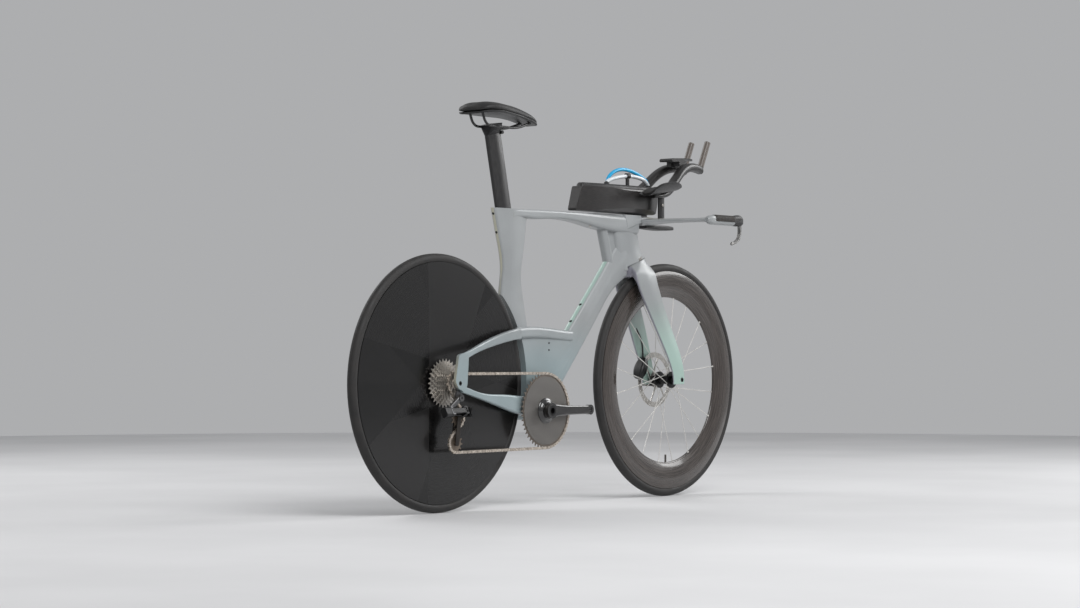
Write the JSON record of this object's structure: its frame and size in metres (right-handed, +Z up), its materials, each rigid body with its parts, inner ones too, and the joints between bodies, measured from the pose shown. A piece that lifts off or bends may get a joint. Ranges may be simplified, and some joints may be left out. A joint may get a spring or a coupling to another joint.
{
  "type": "time trial bike",
  "caption": "Time trial bike with an aero frame, deep front wheel, closed rear disc, wing base bar with forearm extensions, and a hydration box over the top tube.",
  "frame": {"origin": "on the ground, half way between the two axles, on the bike's middle plane", "axes": "+X forward, +Y to the rider's left, +Z up"},
  "size_m": [1.687, 0.4284, 1.0852],
  "materials": {
    "pearl_paint": "satin",
    "black_carbon": "satin",
    "rim_carbon": "satin",
    "disc_carbon": "gloss",
    "tyre_rubber": "matte",
    "black_alloy": "satin",
    "silver_alloy": "satin",
    "steel": "brushed",
    "chain_steel": "satin",
    "grip_rubber": "matte",
    "pad_foam": "matte",
    "saddle_cover": "matte",
    "blue_hose": "gloss",
    "white_hose": "gloss",
    "black_plastic": "matte",
    "ring_alloy": "satin"
  },
  "bodies": {
    "frame_body": {"frame": "pearl_paint", "headset_bearings": "steel", "bottom_bracket_cups": "black_alloy", "bottle_boss_inserts": "black_alloy", "frame_bolts": "black_alloy", "derailleur_hanger": "silver_alloy", "rear_thru_axle": "black_alloy", "rear_brake_caliper": "black_alloy", "chain": "chain_steel", "derailleur_b_knuckle": "silver_alloy", "derailleur_battery": "black_plastic"},
    "cockpit": {"fork": "pearl_paint", "base_bar": "pearl_paint", "bar_grips": "grip_rubber", "lever_housings": "black_plastic", "extensions": "black_carbon", "riser_posts": "black_carbon", "cockpit_bolts": "steel", "arm_cups": "black_carbon", "arm_pads": "pad_foam", "computer_mount": "black_plastic", "stem_nose_cover": "black_plastic", "hydration_box": "black_carbon", "hydration_lid": "black_plastic", "drink_hose": "blue_hose", "refill_hose": "white_hose", "front_brake_caliper": "black_alloy", "front_brake_hose": "black_plastic", "front_thru_axle": "black_alloy"},
    "front_wheel": {"front_tyre": "tyre_rubber", "front_rim": "rim_carbon", "front_hub": "black_alloy", "front_spokes": "steel", "front_rotor": "steel"},
    "rear_wheel": {"rear_tyre": "tyre_rubber", "rear_disc": "disc_carbon", "rear_hub": "black_alloy", "rear_rotor": "steel"},
    "cassette": {"freehub_body": "black_alloy", "cassette_sprockets": "steel"},
    "crankset": {"chainring": "ring_alloy", "crank_arm_right": "black_carbon", "crank_arm_left": "black_carbon", "crank_spindle": "steel"},
    "outer_link": {"derailleur_outer_link": "silver_alloy"},
    "inner_link": {"derailleur_inner_link": "black_alloy"},
    "p_knuckle": {"derailleur_p_knuckle": "black_alloy"},
    "cage": {"derailleur_cage": "black_alloy"},
    "upper_jockey": {"upper_pulley": "black_plastic"},
    "lower_jockey": {"lower_pulley": "black_plastic"},
    "lever_left": {"brake_lever_left": "silver_alloy"},
    "lever_right": {"brake_lever_right": "silver_alloy"},
    "button_left": {"shift_button_left": "black_plastic"},
    "button_right": {"shift_button_right": "black_plastic"},
    "seat": {"seatpost": "black_carbon", "saddle_pad": "saddle_cover", "saddle_shell": "black_carbon", "saddle_rails": "black_carbon", "saddle_clamp": "black_alloy"}
  },
  "joints": [
    {"name": "steering", "type": "hinge", "parent": "frame_body", "child": "cockpit", "pos_m": [0.46449, 0, 0.32507], "axis": [-0.3007, 0, 0.9537], "range_deg": [-26, 26]},
    {"name": "front_wheel_spin", "type": "hinge", "parent": "cockpit", "child": "front_wheel", "pos_m": [0.5055, 0, 0.338], "axis": [0, 1, 0], "continuous": true},
    {"name": "rear_wheel_spin", "type": "hinge", "parent": "frame_body", "child": "rear_wheel", "pos_m": [-0.5055, 0, 0.338], "axis": [0, 1, 0], "continuous": true},
    {"name": "crank_spin", "type": "hinge", "parent": "frame_body", "child": "crankset", "pos_m": [-0.11522, 0, 0.26], "axis": [0, 1, 0], "continuous": true, "deforming": ["chain"]},
    {"name": "cassette_spin", "type": "hinge", "parent": "frame_body", "child": "cassette", "pos_m": [-0.5055, 0, 0.338], "axis": [0, 1, 0], "continuous": true, "deforming": ["chain"]},
    {"name": "derailleur_swing", "type": "hinge", "parent": "frame_body", "child": "outer_link", "pos_m": [-0.53544, -0.07999, 0.26687], "axis": [0, 0.4907, 0.8713], "range_deg": [-10, 50], "deforming": ["chain"]},
    {"name": "inner_link_swing", "type": "hinge", "parent": "frame_body", "child": "inner_link", "pos_m": [-0.53479, -0.06868, 0.2605], "axis": [0, 0.4907, 0.8713], "range_deg": [-10, 50], "deforming": ["chain"]},
    {"name": "knuckle_level", "type": "hinge", "parent": "outer_link", "child": "p_knuckle", "pos_m": [-0.4895, -0.082, 0.268], "axis": [0, 0.4907, 0.8713], "range_deg": [-50, 10], "deforming": ["chain"]},
    {"name": "cage_swing", "type": "hinge", "parent": "p_knuckle", "child": "cage", "pos_m": [-0.4695, -0.07, 0.263], "axis": [0, 1, 0], "range_deg": [-35, 0], "stiffness_Nm_per_rad": 0.8, "springref_deg": 20.05, "deforming": ["chain"]},
    {"name": "upper_pulley_spin", "type": "hinge", "parent": "cage", "child": "upper_jockey", "pos_m": [-0.49163, -0.0572, 0.24935], "axis": [0, 1, 0], "continuous": true, "deforming": ["chain"]},
    {"name": "lower_pulley_spin", "type": "hinge", "parent": "cage", "child": "lower_jockey", "pos_m": [-0.5002, -0.0572, 0.1829], "axis": [0, 1, 0], "continuous": true, "deforming": ["chain"]},
    {"name": "brake_pull_left", "type": "hinge", "parent": "cockpit", "child": "lever_left", "pos_m": [0.58778, 0.2, 0.796], "axis": [0, 1, 0], "range_deg": [0, 25], "stiffness_Nm_per_rad": 0.8, "springref_deg": -8.59},
    {"name": "brake_pull_right", "type": "hinge", "parent": "cockpit", "child": "lever_right", "pos_m": [0.58778, -0.2, 0.796], "axis": [0, 1, 0], "range_deg": [0, 25], "stiffness_Nm_per_rad": 0.8, "springref_deg": -8.59},
    {"name": "shift_press_left", "type": "slide", "parent": "cockpit", "child": "button_left", "axis": [-0.4384, 0, -0.8988], "range_m": [0, 0.0012], "stiffness_N_per_m": 1200, "springref_m": -0.0005},
    {"name": "shift_press_right", "type": "slide", "parent": "cockpit", "child": "button_right", "axis": [-0.4384, 0, -0.8988], "range_m": [0, 0.0012], "stiffness_N_per_m": 1200, "springref_m": -0.0005},
    {"name": "seat_height", "type": "slide", "parent": "frame_body", "child": "seat", "axis": [-0.2181, 0, 0.9759], "range_m": [-0.025, 0.06]}
  ],
  "couplings": [
    {"joint": "cassette_spin", "follows": "crank_spin", "ratio": 4.1667},
    {"joint": "upper_pulley_spin", "follows": "crank_spin", "ratio": -4.1667},
    {"joint": "lower_pulley_spin", "follows": "crank_spin", "ratio": 4.1667},
    {"joint": "inner_link_swing", "follows": "derailleur_swing", "ratio": 1},
    {"joint": "knuckle_level", "follows": "derailleur_swing", "ratio": -1}
  ]
}
